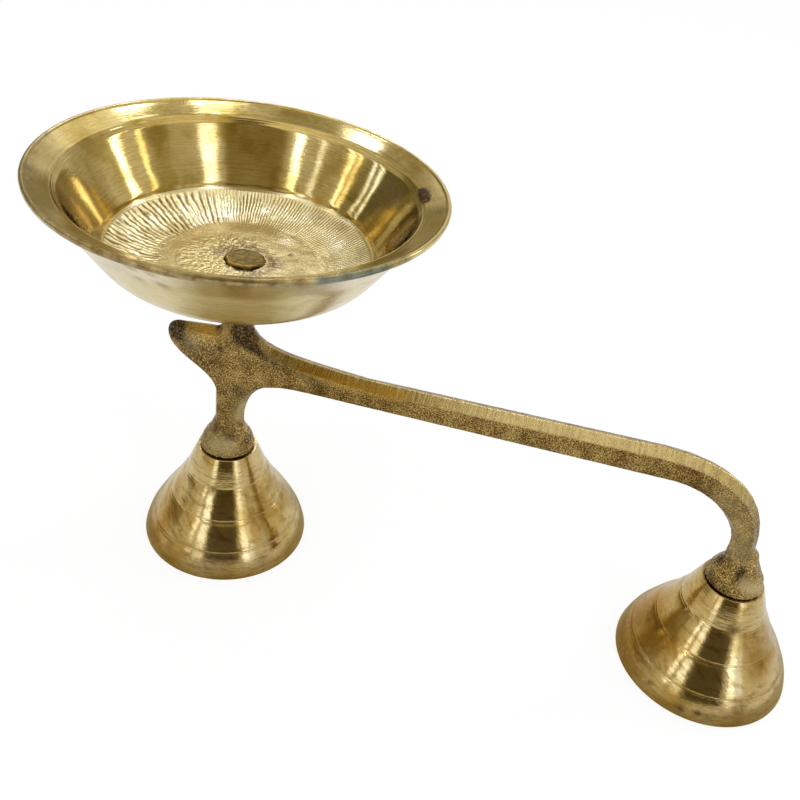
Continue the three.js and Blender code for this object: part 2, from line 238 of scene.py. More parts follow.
rounds, ups = np.meshgrid(np.arange(-180, 180, 1.0), np.arange(*CURTAIN_UPS, 1.0))
rise = np.clip((ups - CURTAIN_RISE[0]) / (CURTAIN_RISE[1] - CURTAIN_RISE[0]), 0, 1)[..., None]
tones = np.array(linear(CURTAIN_CLOTH)[:3]) * (CURTAIN_LOW + (CURTAIN_HIGH - CURTAIN_LOW) * rise)
for left, right, low, high, soft, level, tint in CLOTHS:
    turned_round = (rounds - (left + right) / 2 + 180) % 360 - 180
    cover = soften(turned_round, -(right - left) / 2, (right - left) / 2, soft)
    cover = cover * soften(ups, low, high, soft)
    tones = tones * (1 - cover[..., None]) + np.array(linear(tint)[:3]) * level * cover[..., None]
rows, cols = rounds.shape
places = [LAMP_AIM + toward(a, e) * CURTAIN_WAY for a, e in zip(rounds.ravel(), ups.ravel())]
quads = [(r * cols + c, r * cols + (c + 1) % cols, (r + 1) * cols + (c + 1) % cols, (r + 1) * cols + c)
         for r in range(rows - 1) for c in range(cols)]
curtain = solid("curtain", places, quads)
paint = curtain.data.color_attributes.new("cloth", "FLOAT_COLOR", "POINT")
paint.data.foreach_set("color", np.concatenate([tones, np.ones((rows, cols, 1))], axis=2).ravel())
cloth, tree, shader = surface("dyed curtain cloth")
tree.nodes.remove(shader)
dyed = add(tree, "Attribute", {"attribute_name": "cloth"})
glow = add(tree, "Emission", None, {"Color": dyed.outputs["Color"], "Strength": 1.0})
tree.links.new(glow.outputs[0], tree.nodes["Material Output"].inputs["Surface"])
cloth.cycles.emission_sampling = "NONE"
curtain.data.materials.append(cloth)
for sight in ("camera", "diffuse", "shadow", "transmission"):
    setattr(curtain, "visible_" + sight, False)

# Painted shadow: a dark ring lies on the sheet round each foot, where only the brass sees it, and stands
# for the feet's shadow on the sheet, so that the low parts of the feet stay deep gold. It fades into the
# white of the sheet.
FOOT_FRONT_X = -52.55
FOOT_REAR_X = 74.15
SHADE_MAT_DARK = 0.60
SHADE_MAT_WHITE = 1.0
SHADE_MAT_REACH = (0.24, 0.20)
SHADE_MAT_LIFT = 0.0001
SHADE_MAT_STEPS = 81
SHADE_MAT_RING = 0.022
SHADE_MAT_FADE = 0.022

span = np.linspace(-1, 1, SHADE_MAT_STEPS)
across, along = np.meshgrid(span * SHADE_MAT_REACH[0], span * SHADE_MAT_REACH[1])
off = np.minimum(np.hypot(across - FOOT_FRONT_X * MM, along), np.hypot(across - FOOT_REAR_X * MM, along))
fade = np.clip((off - SHADE_MAT_RING) / SHADE_MAT_FADE, 0, 1)
fade = fade * fade * (3 - 2 * fade)
# Painted shadow: the ring is darkest at each foot and fades to white.
tones = np.array(linear(CLOTH_BROWN)[:3]) * SHADE_MAT_DARK * (1 - fade[..., None]) + SHADE_MAT_WHITE * fade[..., None]
quads = [(r * SHADE_MAT_STEPS + c, r * SHADE_MAT_STEPS + c + 1, (r + 1) * SHADE_MAT_STEPS + c + 1, (r + 1) * SHADE_MAT_STEPS + c)
         for r in range(SHADE_MAT_STEPS - 1) for c in range(SHADE_MAT_STEPS - 1)]
shade_mat = solid("shade_mat", [(x, y, SHADE_MAT_LIFT) for x, y in zip(across.ravel(), along.ravel())], quads)
paint = shade_mat.data.color_attributes.new("cloth", "FLOAT_COLOR", "POINT")
tones = np.concatenate([tones, np.ones((SHADE_MAT_STEPS, SHADE_MAT_STEPS, 1))], axis=2)
paint.data.foreach_set("color", tones.ravel())
shade_mat.data.materials.append(cloth)
for sight in ("camera", "diffuse", "shadow", "transmission"):
    setattr(shade_mat, "visible_" + sight, False)

# The two feet are the same hollow bell, turned in a lathe from cast brass and polished
# on it in four slightly rounded bands. The handle's studs are hammered over inside.
FOOT_TALL = 28.1
FOOT_OUTLINE = [
    (20.2, 0.0), (20.9, 0.7), (20.9, 1.2), (20.3, 3.0), (19.6, 5.0), (18.7, 7.0), (17.45, 9.0),
    (16.2, 11.0), (14.9, 13.0), (13.55, 15.0), (12.3, 17.0), (11.25, 19.0), (10.2, 21.0),
    (9.32, 23.0), (8.52, 25.0), (7.82, 26.8), (7.46, 27.7), (7.3, 28.1),
]
FOOT_BORDERS = (0.7, 7.2, 14.0, 21.0, 28.1)
FOOT_WALL = 2.0
FOOT_BORE = 2.3
FOOT_CROWN = 2.6
FOOT_RIM = [(20.2, 0.0), (20.6, 0.2), (20.82, 0.45)]
FOOT_RIM_R = 20.9
FOOT_TOP_R = 7.25
FOOT_RING = 1.2
STUD_ROOM = 2.0
BELL_SHARP = math.radians(40)
BAND_BULGE = 0.20
BAND_SINK = 0.6
BAND_NEAR = (0.1, 0.2, 0.3, 0.4, 0.5, 0.65)
BAND_STEP = 0.5
# Each border is cut by two lines, the lower one shallower.
LINE_PAIR = ((0, 1.0), (0.45, 0.7))
LINE_DEEP = 0.07
LINE_WIDE = 0.14
BELL_STEPS = 256
BRASS_GOLD = "B29D60"
BRASS_PALE = "C9B886"
BRASS_TARNISH = "8A7334"
BRASS_BROWN = "452A0E"
BRASS_GREEN = "6C9CA8"
BRASS_ORANGE = "AE8434"


def through(points, steps):
    """A smooth curve through the given points, with steps between each two."""
    ends = [2 * np.array(points[0]) - points[1], *map(np.array, points)]
    ends.append(2 * np.array(points[-1]) - points[-2])
    out = []
    for a, b, c, d in zip(ends, ends[1:], ends[2:], ends[3:]):
        for i in range(steps):
            t = i / steps
            out.append(0.5 * (2 * b + (c - a) * t + (2 * a - 5 * b + 4 * c - d) * t * t
                              + (3 * b - a - 3 * c + d) * t ** 3))
    out.append(np.array(points[-1], float))
    return [tuple(p) for p in out]


def turned(name, outline, steps):
    """Turn a closed outline of (radius, height) in mm round the upright axis."""
    count = len(outline)
    points = []
    for a in np.linspace(0, 2 * math.pi, steps, endpoint=False):
        points += [(r * math.cos(a) * MM, r * math.sin(a) * MM, z * MM) for r, z in outline]
    faces = []
    for i in range(steps):
        j = (i + 1) % steps
        for k in range(count):
            n = (k + 1) % count
            faces.append((i * count + k, j * count + k, j * count + n, i * count + n))
    return solid(name, points, faces)


def marked(piece, dark=(), gold=(), pale=(), green=()):
    """Note on the mesh where the piece is dark, glows orange, is pale, or has gone green. Dark marks are
    stains, and round the rivet painted shade; some pale and green marks are painted highlights and
    reflections.

    Each mark is a place in mm in the burner's frame, its radius in mm and how strong it is."""
    mesh = piece.data
    count = len(mesh.vertices)
    co = np.empty(count * 3)
    mesh.vertices.foreach_get("co", co)
    turn = np.array(piece.matrix_basis)
    co = (co.reshape(-1, 3) @ turn[:3, :3].T + turn[:3, 3]) / MM
    tones = np.zeros((count, 4))
    for channel, marks in enumerate((dark, gold, pale, green)):
        for x, y, z, radius, amount in marks:
            tones[:, channel] += amount * np.exp(-((co - (x, y, z)) ** 2).sum(1) / radius ** 2)
    paint = mesh.color_attributes.new("wear", "FLOAT_COLOR", "POINT")
    paint.data.foreach_set("color", np.clip(tones, 0, 1).ravel())


# Sizes in mm of the short scratches, clouds of tarnish, specks and slow waves on turned brass.
SCRATCH_SIZE = 0.27
SCRATCH_LONG = 0.07
CLOUD_SIZE = 11
SPECK_SIZE = 1.1
WAVE_SIZE = 5


def brass_look(tree, shader, line_gap, tones, rough, bump_deep, brushed, lean=(0, 0)):
    """Turned brass: gold with cloudy tarnish, lathe lines and short scratches round it, and the marks
    noted on the mesh: stains, and on the bowl's left wall painted reflections.

    The gap between lines and the depth of the bump are in mm, the tones are gold, pale, tarnish
    and brown, and brushed says how strong the scratches are."""
    place = add(tree, "TexCoord").outputs["Object"]
    place = add(tree, "Mapping", None, {"Vector": place, "Rotation": (-lean[0], -lean[1], 0)}).outputs[0]
    parts = add(tree, "SeparateXYZ", None, {0: place})
    xy = add(tree, "CombineXYZ", None, {"X": parts.outputs["X"], "Y": parts.outputs["Y"]})
    radius = add(tree, "VectorMath", {"operation": "LENGTH"}, {0: xy.outputs[0]}).outputs["Value"]
    along = add(tree, "Math", {"operation": "MULTIPLY"}, {0: radius, 1: 0.8})
    along = add(tree, "Math", {"operation": "MULTIPLY_ADD"},
                {0: parts.outputs["Z"], 1: 0.6, 2: along.outputs[0]})
    fine = add(tree, "TexNoise", {"noise_dimensions": "1D"},
               {"W": along.outputs[0], "Scale": 1 / (line_gap * MM), "Detail": 3, "Roughness": 0.7})
    angle = add(tree, "Math", {"operation": "ARCTAN2"}, {0: parts.outputs["Y"], 1: parts.outputs["X"]})
    round_way = add(tree, "Math", {"operation": "MULTIPLY"}, {0: angle.outputs[0], 1: radius})
    round_way = add(tree, "Math", {"operation": "MULTIPLY"}, {0: round_way.outputs[0], 1: SCRATCH_LONG})
    lathe = add(tree, "CombineXYZ", None, {"X": round_way.outputs[0], "Y": along.outputs[0]})
    scratch = add(tree, "TexNoise", {"noise_dimensions": "2D"},
                  {"Vector": lathe.outputs[0], "Scale": 1 / (SCRATCH_SIZE * MM), "Detail": 3,
                   "Roughness": 0.7})
    cloud = add(tree, "TexNoise", None,
                {"Vector": place, "Scale": 1 / (CLOUD_SIZE * MM), "Detail": 5, "Roughness": 0.6})
    speck = add(tree, "TexNoise", None,
                {"Vector": place, "Scale": 1 / (SPECK_SIZE * MM), "Detail": 4, "Roughness": 0.7})
    colour = linear(tones[0])
    for pattern, low, high, most, tone in (
        (cloud, 0.40, 0.68, 1.0, tones[1]),
        (cloud, 0.46, 0.34, 0.5, tones[2]),
        (fine, 0.55, 0.75, 0.4, tones[2]),
        (scratch, 0.50, 0.70, brushed, tones[2]),
        (speck, 0.68, 0.78, 0.6, tones[3]),
    ):
        amount = add(tree, "MapRange", None,
                     {"Value": pattern.outputs["Fac"], "From Min": low, "From Max": high, "To Max": most})
        mixed = add(tree, "Mix", {"data_type": "RGBA"},
                    {0: amount.outputs[0], 6: colour, 7: linear(tone)})
        colour = mixed.outputs[2]
    noted = add(tree, "Attribute", {"attribute_name": "wear"})
    wear = add(tree, "SeparateColor", None, {0: noted.outputs["Color"]})
    mixed = add(tree, "Mix", {"data_type": "RGBA"},
                {0: noted.outputs["Alpha"], 6: colour, 7: linear(BRASS_GREEN)})
    ragged = add(tree, "MapRange", None, {"Value": speck.outputs["Fac"], "From Min": 0.35,
                                          "From Max": 0.65, "To Min": 0.6, "To Max": 1.4})
    for channel, tone in ((2, BRASS_PALE), (1, BRASS_ORANGE), (0, tones[3])):
        amount = add(tree, "Math", {"operation": "MULTIPLY", "use_clamp": True},
                     {0: wear.outputs[channel], 1: ragged.outputs[0]})
        mixed = add(tree, "Mix", {"data_type": "RGBA"},
                    {0: amount.outputs[0], 6: mixed.outputs[2], 7: linear(tone)})
    tree.links.new(mixed.outputs[2], shader.inputs["Base Color"])
    # Soot and oxide are not metal, so the stains are dull and don't mirror.
    shader.inputs["Specular IOR Level"].default_value = 0.1
    bare = add(tree, "Math", {"operation": "MULTIPLY_ADD"}, {0: wear.outputs[0], 1: -0.85, 2: 1.0})
    tree.links.new(bare.outputs[0], shader.inputs["Metallic"])
    dull = add(tree, "MapRange", None, {"Value": cloud.outputs["Fac"], "From Min": 0.7, "From Max": 0.3,
                                        "To Min": rough[0], "To Max": rough[1]})
    dull = add(tree, "Math", {"operation": "MULTIPLY_ADD"},
               {0: wear.outputs[0], 1: 0.25, 2: dull.outputs[0]})
    tree.links.new(dull.outputs[0], shader.inputs["Roughness"])
    shader.inputs["Anisotropic"].default_value = 0.5
    shader.inputs["Anisotropic Rotation"].default_value = 0.25
    grain = add(tree, "Tangent", {"direction_type": "RADIAL", "axis": "Z"})
    tree.links.new(grain.outputs[0], shader.inputs["Tangent"])
    wave = add(tree, "TexNoise", None, {"Vector": place, "Scale": 1 / (WAVE_SIZE * MM), "Detail": 2})
    height = add(tree, "Math", {"operation": "MULTIPLY_ADD"},
                 {0: wave.outputs["Fac"], 1: 1.2, 2: fine.outputs["Fac"]})
    height = add(tree, "Math", {"operation": "MULTIPLY_ADD"},
                 {0: scratch.outputs["Fac"], 1: brushed * 2, 2: height.outputs[0]})
    bump = add(tree, "Bump", None,
               {"Height": height.outputs[0], "Strength": 1.0, "Distance": bump_deep * MM})
    tree.links.new(bump.outputs[0], shader.inputs["Normal"])


# Turned and polished brass is a mirror with fine lathe lines about 0.1 mm apart. They are
# too fine to show, so they are drawn 0.7 mm apart.
BELL_GOLD = "B3995D"
BELL_PALE = "CBB988"
BELL_TARNISH = "846A30"

bell_brass, tree, shader = surface("turned brass, polished bell")
brass_look(tree, shader, line_gap=0.7, tones=(BELL_GOLD, BELL_PALE, BELL_TARNISH, BRASS_BROWN),
           rough=(0.11, 0.20), bump_deep=0.030, brushed=0.70)

curve = np.array(through(FOOT_OUTLINE, 8))
heights = []
for low, high in zip(FOOT_BORDERS, FOOT_BORDERS[1:]):
    heights += [low, *(low + d for d in BAND_NEAR), *np.arange(low + 1.1, high - 0.9, BAND_STEP)]
    heights += [high - d for d in BAND_NEAR[::-1]]
outside = list(FOOT_RIM)
for z in heights:
    r = float(np.interp(z, curve[:, 1], curve[:, 0]))
    low = max(b for b in FOOT_BORDERS[:-1] if b <= z)
    high = FOOT_BORDERS[FOOT_BORDERS.index(low) + 1]
    t = (z - low) / (high - low)
    r += BAND_BULGE * (4 * t * (1 - t) - BAND_SINK)
    for border in FOOT_BORDERS[1:-1]:
        for below, share in LINE_PAIR:
            r -= LINE_DEEP * share * math.exp(-((z - border + below) / LINE_WIDE) ** 2)
    outside.append((min(r, FOOT_RIM_R), z))
outside.append((FOOT_TOP_R, FOOT_TALL))
inside = [(max(r - FOOT_WALL, FOOT_BORE + STUD_ROOM), z) for r, z in through(FOOT_OUTLINE[2:14], 3)]
inside = [(FOOT_OUTLINE[1][0] - FOOT_WALL, 0.4)] + inside
inside = [p for p in inside if p[1] < FOOT_TALL - FOOT_CROWN]
bell = [(FOOT_RIM[0][0] - FOOT_RING, 0.0)] + outside
bell += [(FOOT_BORE, FOOT_TALL), (FOOT_BORE, FOOT_TALL - FOOT_CROWN)]
bell += [(inside[-1][0], FOOT_TALL - FOOT_CROWN)] + inside[::-1]

# The front bell is smudged brown low at its left and right. The rear one is speckled gold
# at the front, and orange at its left. The skirt of both is dulled all round.
SKIRT_R = 19.2
SKIRT_Z = 3.6
SKIRT_SPREAD = 2.6
SKIRT_EVERY = 9
FRONT_SMUDGES = [
    (-63.5, -13.0, 11.0, 2.6, 0.30), (-66.0, -15.0, 6.0, 2.4, 0.25), (-38.5, -12.0, 3.5, 2.0, 0.5),
    (-52.0, -10.2, 20.8, 0.9, 0.6), (-60.0, -17.0, 5.0, 1.2, 0.3), (-50.0, -19.0, 3.5, 5.0, 0.2),
]
FRONT_SPECKLE = [
    (-63.5, -13.0, 11.0, 3.4, 1.0), (-66.0, -15.0, 6.0, 3.4, 1.0), (-61.0, -6.0, 17.0, 3.0, 0.6),
    (-42.0, -12.0, 12.0, 4.0, 0.4),
]
REAR_SMUDGES = [
    (76.0, -9.5, 21.5, 1.6, 0.6), (64.0, -10.0, 14.0, 1.4, 0.5), (82.0, -17.0, 5.0, 2.0, 0.4),
    (57.3, -2.6, 9.6, 6.5, 0.28), (59.5, -11.0, 6.5, 5.0, 0.18), (84.0, -8.2, 16.3, 5.0, 0.20),
    (69.5, -20.0, 2.6, 1.1, 0.6), (73.5, -20.4, 3.0, 0.8, 0.7), (76.0, -20.2, 2.4, 1.2, 0.4),
    (62.0, -15.8, 3.4, 0.7, 0.4), (80.0, -19.4, 3.0, 0.7, 0.4),
]
REAR_SPECKLE = [
    (56.0, -4.0, 8.0, 8.0, 1.0), (60.0, 2.0, 14.0, 6.0, 0.8), (62.0, -10.0, 14.0, 5.0, 0.8),
    (84.0, -8.0, 14.0, 6.0, 0.5), (67.0, -4.0, 22.0, 4.0, 0.7),
]
for name, x, smudges, speckle in (("front_bell", FOOT_FRONT_X, FRONT_SMUDGES, FRONT_SPECKLE),
                                  ("rear_bell", FOOT_REAR_X, REAR_SMUDGES, REAR_SPECKLE)):
    for a in np.radians(np.arange(0, 360, SKIRT_EVERY)):
        spot = (x + SKIRT_R * math.cos(a), SKIRT_R * math.sin(a), SKIRT_Z, SKIRT_SPREAD)
        speckle.append((*spot, 0.22))
        smudges.append((*spot, 0.09 + 0.04 * math.sin(4 * a)))
    foot = turned(name, bell, BELL_STEPS)
    foot.location = (x * MM, 0, 0)
    foot.data.materials.append(bell_brass)
    foot.data.set_sharp_from_angle(angle=BELL_SHARP)
    marked(foot, smudges, speckle)
    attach(foot, "root")
    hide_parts("front_foot" if x < 0 else "rear_foot")

# The studs that hold the feet are plain brass rod, hammered over inside each bell, so
# they are dull and dented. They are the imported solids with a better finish.
PEENED_GOLD = "94804C"
PEENED_DARK = "544222"
PEENED_ORANGE = "C8A558"
PEENED_BLACK = "2A1C0E"
DENT_SIZE = 1.5
GRIME_SIZE = 0.8

# Hammered brass is dull, with dents about 1.5 mm across and grime in them.
peened_brass, tree, shader = surface("hammered brass")
place = add(tree, "TexCoord").outputs["Object"]
dents = add(tree, "TexVoronoi", {"feature": "SMOOTH_F1"},
            {"Vector": place, "Scale": 1 / (DENT_SIZE * MM)})
grime = add(tree, "TexNoise", None,
            {"Vector": place, "Scale": 1 / (GRIME_SIZE * MM), "Detail": 5, "Roughness": 0.7})
wear = add(tree, "Attribute", {"attribute_name": "wear"})
wear = add(tree, "SeparateColor", None, {0: wear.outputs["Color"]})
colour = linear(PEENED_GOLD)
# On the rivet the first wear channel is the painted shade round its front edge.
for amount, tone in ((grime.outputs["Fac"], PEENED_DARK), (wear.outputs[1], PEENED_ORANGE),
                     (wear.outputs[0], PEENED_BLACK)):
    mixed = add(tree, "Mix", {"data_type": "RGBA"}, {0: amount, 6: colour, 7: linear(tone)})
    colour = mixed.outputs[2]
tree.links.new(colour, shader.inputs["Base Color"])
shader.inputs["Metallic"].default_value = 1.0
worn = add(tree, "MapRange", None, {"Value": grime.outputs["Fac"], "To Min": 0.26, "To Max": 0.48})
tree.links.new(worn.outputs[0], shader.inputs["Roughness"])
bump = add(tree, "Bump", None,
           {"Height": dents.outputs["Distance"], "Strength": 0.5, "Distance": 0.2 * MM})
tree.links.new(bump.outputs[0], shader.inputs["Normal"])
for name in ("front_foot_stud", "rear_foot_stud"):
    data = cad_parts[name].data
    data.materials.clear()
    data.materials.append(peened_brass)

# The handle is one sand casting in brass: neck, spur, legs, grip bar and the collars on
# the feet. It is left as cast on its faces, and filed bright along its upper edges.
CAST_MESH = 0.25
CAST_GOLD = "B29350"
CAST_GLINT = "DCC88E"
CAST_DARK = "4C3312"
CAST_FILED = "C0B184"
CAST_ORANGE = "C29A46"
CAST_BLACK = "321D0A"
# Heights in mm of the sand's grain and of the lumps low on the legs, each with its waves per mm.
SAND_HEIGHT = 0.05
SAND_WAVES = (0.7, 1.6)
LUMP_HEIGHT = 0.16
LUMP_WAVES = 1.1
LUMP_TOP = 38

casting = bpy.data.objects.new("handle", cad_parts["handle_casting"].data.copy())
bpy.context.collection.objects.link(casting)
remesh = casting.modifiers.new("sand", "REMESH")
remesh.mode = "VOXEL"
remesh.voxel_size = CAST_MESH * MM
worn = casting.modifiers.new("worn", "SMOOTH")
worn.factor = 0.5
worn.iterations = 3
bpy.context.view_layer.update()
shaped = bpy.data.meshes.new_from_object(casting.evaluated_get(bpy.context.evaluated_depsgraph_get()))
casting.modifiers.clear()
casting.data = shaped
casting.data.name = "handle"
count = len(shaped.vertices)
co = np.empty(count * 3)
shaped.vertices.foreach_get("co", co)
co = co.reshape(-1, 3)
normals = np.empty(count * 3)
shaped.vertices.foreach_get("normal", normals)
normals = normals.reshape(-1, 3)
push = np.empty(count)
for i in range(count):
    p = Vector(co[i]) / MM
    sand = noise.noise(p * SAND_WAVES[0]) * 0.5
    sand += noise.noise(p * SAND_WAVES[1] + Vector((7, 3, 1))) * 0.5
    lumps = noise.noise(p * LUMP_WAVES + Vector((2, 9, 4))) * min(1, max(0, (LUMP_TOP - p.z) / 4))
    push[i] = sand * SAND_HEIGHT + lumps * LUMP_HEIGHT
co += normals * push[:, None] * MM
shaped.vertices.foreach_set("co", co.ravel())
shaped.update()
shaped.shade_smooth()

# Dark patina lies on the spur's tip, the neck's right side, the legs and the collars. The spur's top and
# the bar's near end are orange, rubbed places are pale, and two pale marks on the bar's top near the neck
# are painted highlights.
CAST_STAINS = [
    (-66.2, -1.2, 59.6, 2.0, 1.5), (-64.6, -1.4, 60.2, 1.6, 1.2), (-65.0, -1.6, 57.4, 1.6, 0.7),
    (-55.0, -0.8, 62.6, 1.0, 1.2), (-48.9, -3.2, 65.3, 2.3, 1.0), (-48.8, -3.1, 62.6, 2.2, 0.9),
    (-46.9, -2.9, 61.0, 1.6, 0.9), (-45.4, -2.5, 60.2, 1.3, 0.9), (-44.0, -2.8, 59.4, 1.1, 0.8),
    (-46.6, -0.6, 64.0, 1.8, 0.7), (-42.4, -2.9, 58.5, 0.9, 0.8), (-40.3, -2.9, 57.8, 0.9, 0.8),
    (-37.9, -2.9, 57.4, 0.9, 0.7), (-35.4, -2.9, 57.0, 0.8, 0.6), (-53.7, -2.9, 58.0, 0.6, 1.3),
    (-49.0, -2.9, 47.2, 2.0, 0.7), (-52.8, -2.9, 45.8, 0.8, 0.5), (-50.7, -3.8, 34.4, 1.1, 0.6),
    (-49.7, -3.6, 33.2, 0.9, 0.5), (-54.6, -3.8, 34.4, 1.0, 0.5), (69.3, 0.0, 33.4, 1.5, 1.0),
    (69.2, -1.5, 34.6, 1.0, 0.6), (-62.6, -1.9, 56.2, 2.6, 0.35), (73.9, -3.8, 34.9, 0.8, 1.2),
    (73.6, -4.3, 33.8, 0.7, 1.1), (73.4, -4.9, 32.9, 0.5, 1.0), (67.6, -2.6, 29.6, 1.6, 0.8),
    (71.0, -6.0, 29.2, 1.6, 0.6), (6.2, -2.9, 52.2, 0.5, 1.4), (13.2, -2.9, 52.4, 0.45, 1.4),
    (60.0, -2.9, 52.0, 3.0, 0.3), (-29.0, -2.9, 54.0, 2.0, 0.3), (25.0, -2.9, 53.0, 2.5, 0.3),
    (-33.4, -2.9, 56.6, 0.8, 0.6), (-31.4, -2.9, 56.2, 0.8, 0.5),
]
CAST_GLOWS = [
    (-60.0, -0.5, 61.4, 2.2, 0.7), (-57.3, -1.2, 61.4, 1.8, 1.1), (-55.4, -1.6, 61.6, 1.4, 1.0),
    (-52.0, -3.0, 63.0, 2.0, 0.3),
]
for x in np.arange(-35.0, -9.0, 1.1):
    CAST_GLOWS.append((x, -2.1, 57.1 + max(0, -24 - x) * 0.07, 1.3, 0.42))
CAST_RUBS_AND_HIGHLIGHTS = [
    (-48.3, -1.5, 42.2, 1.8, 0.6), (-48.7, -1.8, 39.2, 1.8, 0.6), (-53.6, -5.6, 31.6, 2.6, 0.5),
    (-49.6, -5.2, 31.5, 2.4, 0.5), (77.6, -5.0, 31.0, 2.0, 0.7), (79.7, -3.1, 29.9, 1.5, 0.6),
    (75.2, -5.3, 32.3, 1.6, 0.5), (-61.0, -2.0, 57.0, 2.2, 0.3), (72.4, -2.9, 39.8, 4.0, 0.35),
    # The last two marks, on the bar's top near the neck, are painted highlights.
    (68.4, -2.9, 46.5, 4.0, 0.30), (64.7, -2.9, 52.3, 3.5, 0.25), (-33.0, -1.0, 58.2, 2.2, 0.5),
    (-29.0, -1.0, 58.0, 2.2, 0.5),
]
marked(casting, CAST_STAINS, CAST_GLOWS, CAST_RUBS_AND_HIGHLIGHTS)

# The file went over what faces up but not back, on the bar and the turn behind the neck.
FILED_SLOPE = 0.45
FILED_LOW = 44
FILED_FRONT = -46
filed = np.clip((normals[:, 2] - FILED_SLOPE) / 0.2, 0, 1)
filed *= np.clip((FILED_SLOPE - normals[:, 1]) / 0.25, 0, 1)
filed *= np.clip((co[:, 2] / MM - FILED_LOW) / 4, 0, 1)
filed *= np.clip((co[:, 0] / MM - FILED_FRONT) / 3, 0, 1)
paint = shaped.color_attributes.new("filed", "FLOAT_COLOR", "POINT")
paint.data.foreach_set("color", np.repeat(np.clip(filed, 0, 1)[:, None], 4, axis=1).ravel())

# Sand-cast brass keeps the sand's grain of about 0.4 mm, with soot in the hollows. The
# filed edges are smoother and paler, crossed by file marks drawn 0.5 mm apart.
SAND_SIZE = 0.36
PATCH_SIZE = 5
STROKE_GAP = 0.5
SAND_DEEP = 0.26

cast_brass, tree, shader = surface("sand-cast brass")
place = add(tree, "TexCoord").outputs["Object"]
grain = add(tree, "TexNoise", None,
            {"Vector": place, "Scale": 1 / (SAND_SIZE * MM), "Detail": 3, "Roughness": 0.75})
patch = add(tree, "TexNoise", None,
            {"Vector": place, "Scale": 1 / (PATCH_SIZE * MM), "Detail": 5, "Roughness": 0.65})
wear = add(tree, "Attribute", {"attribute_name": "wear"})
wear = add(tree, "SeparateColor", None, {0: wear.outputs["Color"]})
smooth = add(tree, "Attribute", {"attribute_name": "filed"}).outputs["Fac"]
shift = add(tree, "Math", {"operation": "MULTIPLY_ADD"},
            {0: patch.outputs["Fac"], 1: 0.35, 2: grain.outputs["Fac"]})
colour = linear(CAST_GOLD)
# The grain gets dark specks and painted highlights: bright glints mixed in where the grain is low.
for low, high, most, tone in ((0.595, 0.745, 1.0, CAST_DARK), (0.62, 0.50, 0.75, CAST_GLINT)):
    amount = add(tree, "MapRange", None,
                 {"Value": shift.outputs[0], "From Min": low, "From Max": high, "To Max": most})
    mixed = add(tree, "Mix", {"data_type": "RGBA"}, {0: amount.outputs[0], 6: colour, 7: linear(tone)})
    colour = mixed.outputs[2]
across = add(tree, "Mapping", None,
             {"Vector": place, "Rotation": (0, 0, 0.12), "Scale": (1, 0.05, 0.05)})
strokes = add(tree, "TexNoise", None, {"Vector": across.outputs[0], "Scale": 1 / (STROKE_GAP * MM),
                                       "Detail": 3, "Roughness": 0.65})
cut = add(tree, "MapRange", None, {"Value": strokes.outputs["Fac"], "From Min": 0.40, "From Max": 0.60,
                                   "To Min": 0.55, "To Max": 1.0})
cut = add(tree, "Math", {"operation": "MULTIPLY"}, {0: cut.outputs[0], 1: smooth})
mixed = add(tree, "Mix", {"data_type": "RGBA"}, {0: cut.outputs[0], 6: colour, 7: linear(CAST_FILED)})
ragged = add(tree, "MapRange", None, {"Value": grain.outputs["Fac"], "From Min": 0.35, "From Max": 0.65,
                                      "To Min": 0.3, "To Max": 1.5})
for channel, tone in ((2, CAST_FILED), (1, CAST_ORANGE), (0, CAST_BLACK)):
    amount = add(tree, "Math", {"operation": "MULTIPLY", "use_clamp": True},
                 {0: wear.outputs[channel], 1: ragged.outputs[0]})
    mixed = add(tree, "Mix", {"data_type": "RGBA"},
                {0: amount.outputs[0], 6: mixed.outputs[2], 7: linear(tone)})
tree.links.new(mixed.outputs[2], shader.inputs["Base Color"])
shader.inputs["Specular IOR Level"].default_value = 0.1
bare = add(tree, "Math", {"operation": "MULTIPLY_ADD"}, {0: wear.outputs[0], 1: -0.85, 2: 1.0})
tree.links.new(bare.outputs[0], shader.inputs["Metallic"])
worn = add(tree, "MapRange", None, {"Value": grain.outputs["Fac"], "From Min": 0.3, "From Max": 0.7,
                                    "To Min": 0.18, "To Max": 0.46})
worn = add(tree, "Math", {"operation": "MULTIPLY_ADD"}, {0: smooth, 1: -0.10, 2: worn.outputs[0]})
tree.links.new(worn.outputs[0], shader.inputs["Roughness"])
sandy = add(tree, "Math", {"operation": "MULTIPLY_ADD"}, {0: smooth, 1: -0.85, 2: 1.0})
sandy = add(tree, "Math", {"operation": "MULTIPLY"}, {0: grain.outputs["Fac"], 1: sandy.outputs[0]})
height = add(tree, "Math", {"operation": "MULTIPLY_ADD"}, {0: smooth, 1: 0.35, 2: 0.2})
height = add(tree, "Math", {"operation": "MULTIPLY_ADD"},
             {0: strokes.outputs["Fac"], 1: height.outputs[0], 2: sandy.outputs[0]})
bump = add(tree, "Bump", None,
           {"Height": height.outputs[0], "Strength": 1.0, "Distance": SAND_DEEP * MM})
tree.links.new(bump.outputs[0], shader.inputs["Normal"])
shaped.materials.clear()
shaped.materials.append(cast_brass)
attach(casting, "root")
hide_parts("handle_casting")

